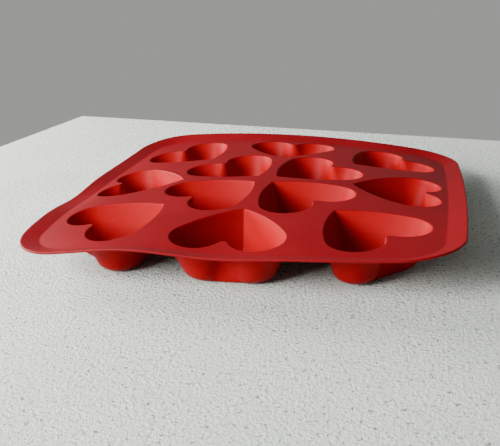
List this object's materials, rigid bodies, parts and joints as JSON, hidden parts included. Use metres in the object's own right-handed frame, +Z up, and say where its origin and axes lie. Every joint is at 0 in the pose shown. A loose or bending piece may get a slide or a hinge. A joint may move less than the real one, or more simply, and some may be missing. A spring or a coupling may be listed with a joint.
{
  "type": "silicone soap mould",
  "caption": "Square flexible silicone mould with an upturned rim and heart-shaped cups whose floors are pushed up to free the castings.",
  "frame": {"origin": "on the plane the cups stand on, under the middle of the sheet", "axes": "+Z up, out of the cups' mouths; -Y is the side nearest the viewer, +X to its right"},
  "size_m": [0.236, 0.236, 0.028],
  "materials": {
    "silicone_deck": "matte moulded red silicone",
    "silicone_rim": "matte moulded red silicone",
    "silicone_cup": "satin moulded red silicone"
  },
  "bodies": {
    "mould": {"deck": "silicone_deck", "rim_lip": "silicone_rim", "cup_wall_corner_fl": "silicone_cup", "cup_wall_corner_fr": "silicone_cup", "cup_wall_corner_bl": "silicone_cup", "cup_wall_corner_br": "silicone_cup", "cup_wall_side_front": "silicone_cup", "cup_wall_side_right": "silicone_cup", "cup_wall_side_back": "silicone_cup", "cup_wall_side_left": "silicone_cup", "cup_wall_inner_fl": "silicone_cup", "cup_wall_inner_fr": "silicone_cup", "cup_wall_inner_bl": "silicone_cup", "cup_wall_inner_br": "silicone_cup"},
    "floor_corner_fl": {"cup_floor_corner_fl": "silicone_cup"},
    "floor_corner_fr": {"cup_floor_corner_fr": "silicone_cup"},
    "floor_corner_bl": {"cup_floor_corner_bl": "silicone_cup"},
    "floor_corner_br": {"cup_floor_corner_br": "silicone_cup"},
    "floor_side_front": {"cup_floor_side_front": "silicone_cup"},
    "floor_side_right": {"cup_floor_side_right": "silicone_cup"},
    "floor_side_back": {"cup_floor_side_back": "silicone_cup"},
    "floor_side_left": {"cup_floor_side_left": "silicone_cup"},
    "floor_inner_fl": {"cup_floor_inner_fl": "silicone_cup"},
    "floor_inner_fr": {"cup_floor_inner_fr": "silicone_cup"},
    "floor_inner_bl": {"cup_floor_inner_bl": "silicone_cup"},
    "floor_inner_br": {"cup_floor_inner_br": "silicone_cup"}
  },
  "joints": [
    {"name": "push_out_corner_fl", "type": "slide", "parent": "mould", "child": "floor_corner_fl", "axis": [0, 0, 1], "range_m": [0, 0.008], "stiffness_N_per_m": 400},
    {"name": "push_out_corner_fr", "type": "slide", "parent": "mould", "child": "floor_corner_fr", "axis": [0, 0, 1], "range_m": [0, 0.008], "stiffness_N_per_m": 400},
    {"name": "push_out_corner_bl", "type": "slide", "parent": "mould", "child": "floor_corner_bl", "axis": [0, 0, 1], "range_m": [0, 0.008], "stiffness_N_per_m": 400},
    {"name": "push_out_corner_br", "type": "slide", "parent": "mould", "child": "floor_corner_br", "axis": [0, 0, 1], "range_m": [0, 0.008], "stiffness_N_per_m": 400},
    {"name": "push_out_side_front", "type": "slide", "parent": "mould", "child": "floor_side_front", "axis": [0, 0, 1], "range_m": [0, 0.008], "stiffness_N_per_m": 400},
    {"name": "push_out_side_right", "type": "slide", "parent": "mould", "child": "floor_side_right", "axis": [0, 0, 1], "range_m": [0, 0.008], "stiffness_N_per_m": 400},
    {"name": "push_out_side_back", "type": "slide", "parent": "mould", "child": "floor_side_back", "axis": [0, 0, 1], "range_m": [0, 0.008], "stiffness_N_per_m": 400},
    {"name": "push_out_side_left", "type": "slide", "parent": "mould", "child": "floor_side_left", "axis": [0, 0, 1], "range_m": [0, 0.008], "stiffness_N_per_m": 400},
    {"name": "push_out_inner_fl", "type": "slide", "parent": "mould", "child": "floor_inner_fl", "axis": [0, 0, 1], "range_m": [0, 0.008], "stiffness_N_per_m": 400},
    {"name": "push_out_inner_fr", "type": "slide", "parent": "mould", "child": "floor_inner_fr", "axis": [0, 0, 1], "range_m": [0, 0.008], "stiffness_N_per_m": 400},
    {"name": "push_out_inner_bl", "type": "slide", "parent": "mould", "child": "floor_inner_bl", "axis": [0, 0, 1], "range_m": [0, 0.008], "stiffness_N_per_m": 400},
    {"name": "push_out_inner_br", "type": "slide", "parent": "mould", "child": "floor_inner_br", "axis": [0, 0, 1], "range_m": [0, 0.008], "stiffness_N_per_m": 400}
  ]
}
